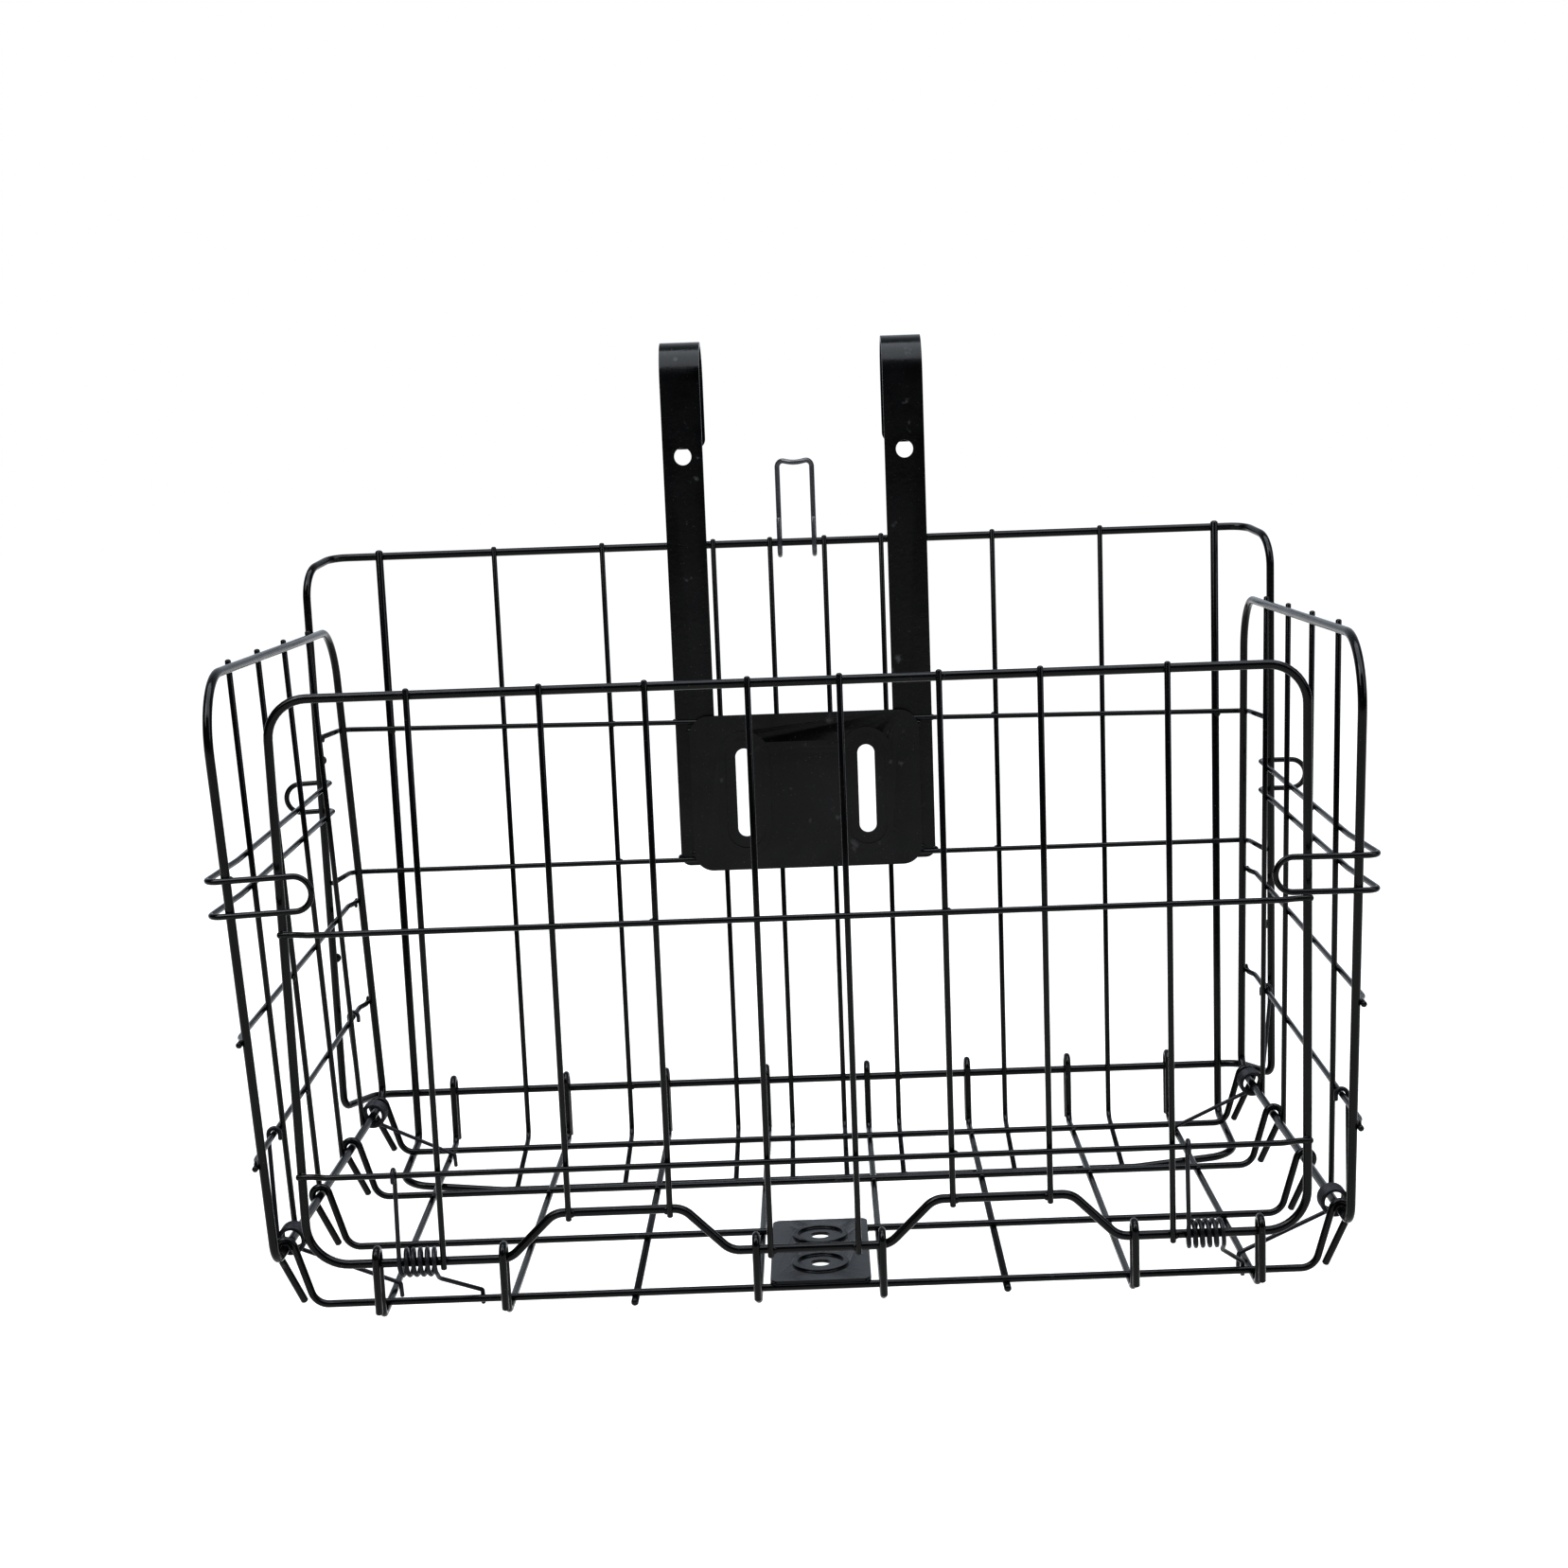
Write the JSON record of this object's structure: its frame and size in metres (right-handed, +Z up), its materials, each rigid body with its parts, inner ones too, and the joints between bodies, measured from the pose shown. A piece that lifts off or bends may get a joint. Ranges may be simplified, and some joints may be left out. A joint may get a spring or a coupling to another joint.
{
  "type": "handlebar basket",
  "caption": "Folding wire basket that hangs on a bicycle's handlebar by two flat hooks, with sprung front and side panels, a hinged floor and a wire latch clip.",
  "frame": {"origin": "on the handlebar's axis, midway between the two hooks", "axes": "+X along the handlebar, +Y toward the bicycle (from the basket's mouth side through the back panel to the hooks' tips), +Z up"},
  "size_m": [0.4123, 0.2538, 0.3361],
  "materials": {
    "rim_wire": "gloss black paint",
    "mesh_wire": "gloss black paint",
    "floor_wire": "gloss black paint",
    "hook_bar": "semi-gloss black paint",
    "pressed_plate": "semi-gloss black paint",
    "spring_steel": "black oxide and oil",
    "latch_wire": "semi-gloss black paint"
  },
  "bodies": {
    "back_panel": {"back_foot_frame": "rim_wire", "back_lower_rail": "mesh_wire", "back_panel_rim": "rim_wire", "back_upper_rail": "mesh_wire", "back_vertical_wires": "mesh_wire", "left_hook_strap": "hook_bar", "right_hook_strap": "hook_bar", "slotted_plate": "pressed_plate"},
    "base_panel": {"base_cross_wire_1": "floor_wire", "base_cross_wire_2": "floor_wire", "base_cross_wire_3": "floor_wire", "base_cross_wire_4": "floor_wire", "base_cross_wire_5": "floor_wire", "base_cross_wire_6": "floor_wire", "base_cross_wire_7": "floor_wire", "base_cross_wire_8": "floor_wire", "base_plate": "pressed_plate", "base_rail_1": "floor_wire", "base_rail_2": "floor_wire", "base_rail_3": "floor_wire", "base_rail_4": "floor_wire", "front_spring_left": "spring_steel", "front_spring_right": "spring_steel", "left_spring_front": "spring_steel", "left_spring_rear": "spring_steel", "right_spring_front": "spring_steel", "right_spring_rear": "spring_steel"},
    "front_panel": {"front_lower_rail": "mesh_wire", "front_mid_rail": "mesh_wire", "front_panel_rim": "rim_wire", "front_vertical_wires": "mesh_wire"},
    "left_panel": {"left_loop_wire": "mesh_wire", "left_panel_rim": "rim_wire", "left_rail_b": "mesh_wire", "left_rail_c": "mesh_wire", "left_vertical_wires": "mesh_wire"},
    "right_panel": {"right_loop_wire": "mesh_wire", "right_panel_rim": "rim_wire", "right_rail_b": "mesh_wire", "right_rail_c": "mesh_wire", "right_vertical_wires": "mesh_wire"},
    "latch": {"latch_clip": "latch_wire"}
  },
  "joints": [
    {"name": "base_fold", "type": "hinge", "parent": "back_panel", "child": "base_panel", "pos_m": [0, -0.0127, -0.2897], "axis": [-1, 0, 0], "range_deg": [0, 0.8]},
    {"name": "front_panel_fold", "type": "hinge", "parent": "base_panel", "child": "front_panel", "pos_m": [0, -0.226, -0.2915], "axis": [-1, 0, 0], "range_deg": [-3.5, 87], "deforming": ["front_spring_left", "front_spring_right"]},
    {"name": "left_panel_swing", "type": "hinge", "parent": "base_panel", "child": "left_panel", "pos_m": [-0.1811, -0.015, -0.289], "axis": [0, 1, 0], "range_deg": [-0.1, 6.5], "deforming": ["left_spring_front", "left_spring_rear"]},
    {"name": "right_panel_swing", "type": "hinge", "parent": "base_panel", "child": "right_panel", "pos_m": [0.1775, -0.015, -0.289], "axis": [0, -1, 0], "range_deg": [-0.4, 6.5], "deforming": ["right_spring_front", "right_spring_rear"]},
    {"name": "latch_swing", "type": "hinge", "parent": "back_panel", "child": "latch", "pos_m": [0, -0.0127, -0.065], "axis": [1, 0, 0], "range_deg": [-90, 160]}
  ]
}
